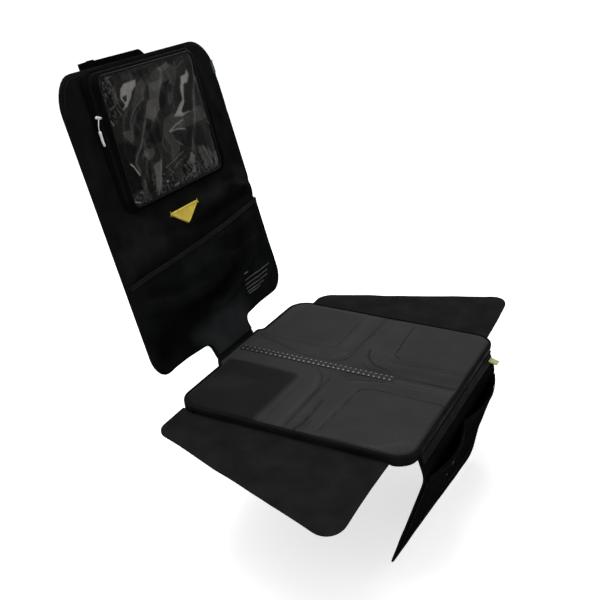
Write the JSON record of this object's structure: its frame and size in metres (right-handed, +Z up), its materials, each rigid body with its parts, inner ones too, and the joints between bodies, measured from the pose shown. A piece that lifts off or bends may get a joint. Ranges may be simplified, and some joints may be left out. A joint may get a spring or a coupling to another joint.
{
  "type": "car seat protector",
  "caption": "Padded fabric car seat protector: quilted seat panel with grip strip and flaps, reclined back panel with clear zipped pocket, open pocket and headrest strap.",
  "frame": {"origin": "middle of the seat panel's underside", "axes": "+Z is up off the car seat's cushion, +Y runs to the car seat's backrest, X runs across the seat with the zipped side at -X"},
  "size_m": [0.86, 0.7187, 0.8146],
  "materials": {
    "black_cloth": "matt woven polyester",
    "dark_cloth": "matt binding tape",
    "grey_cover": "fine textured coated fabric",
    "grey_field": "fine textured coated fabric",
    "sheen_band": "smooth coated fabric with a soft sheen",
    "rib_rubber": "glossy moulded rubber",
    "clear_film": "clear wrinkled vinyl film",
    "piping": "satin edging",
    "chain": "black coil zip chain",
    "slider_metal": "white painted zip slider",
    "pull_cord": "white cord",
    "pull_end": "white moulded pull end",
    "yellow_badge": "yellow moulded patch",
    "yellow_tab": "yellow woven tab",
    "tag": "small woven tag"
  },
  "bodies": {
    "cover": {"back_panel": "black_cloth", "badge": "yellow_badge", "edge_tag": "tag", "field_back_far": "grey_field", "field_back_near": "grey_field", "field_front_far": "grey_field", "field_front_near": "grey_field", "front_band": "sheen_band", "front_flap": "black_cloth", "front_pocket": "black_cloth", "front_pocket_hem": "grey_cover", "front_tab": "yellow_tab", "grip_strip": "rib_rubber", "headrest_strap": "black_cloth", "open_pocket": "black_cloth", "open_pocket_hem": "dark_cloth", "quarter_back_far": "grey_cover", "quarter_back_near": "grey_cover", "quarter_front_far": "grey_cover", "quarter_front_near": "grey_cover", "seat_binding": "black_cloth", "seat_cover": "grey_cover", "seat_padding": "dark_cloth", "side_flap_far": "black_cloth", "side_flap_near": "black_cloth", "window_film": "clear_film", "window_gusset": "dark_cloth", "window_piping": "piping", "zip_chain": "chain"},
    "slider": {"zip_slider": "slider_metal", "zip_pull_cord": "pull_cord", "zip_pull_end": "pull_end"}
  },
  "joints": [
    {"name": "zip_slide", "type": "slide", "parent": "cover", "child": "slider", "axis": [0, 0.2757, 0.9613], "range_m": [-0.1, 0.035]}
  ]
}
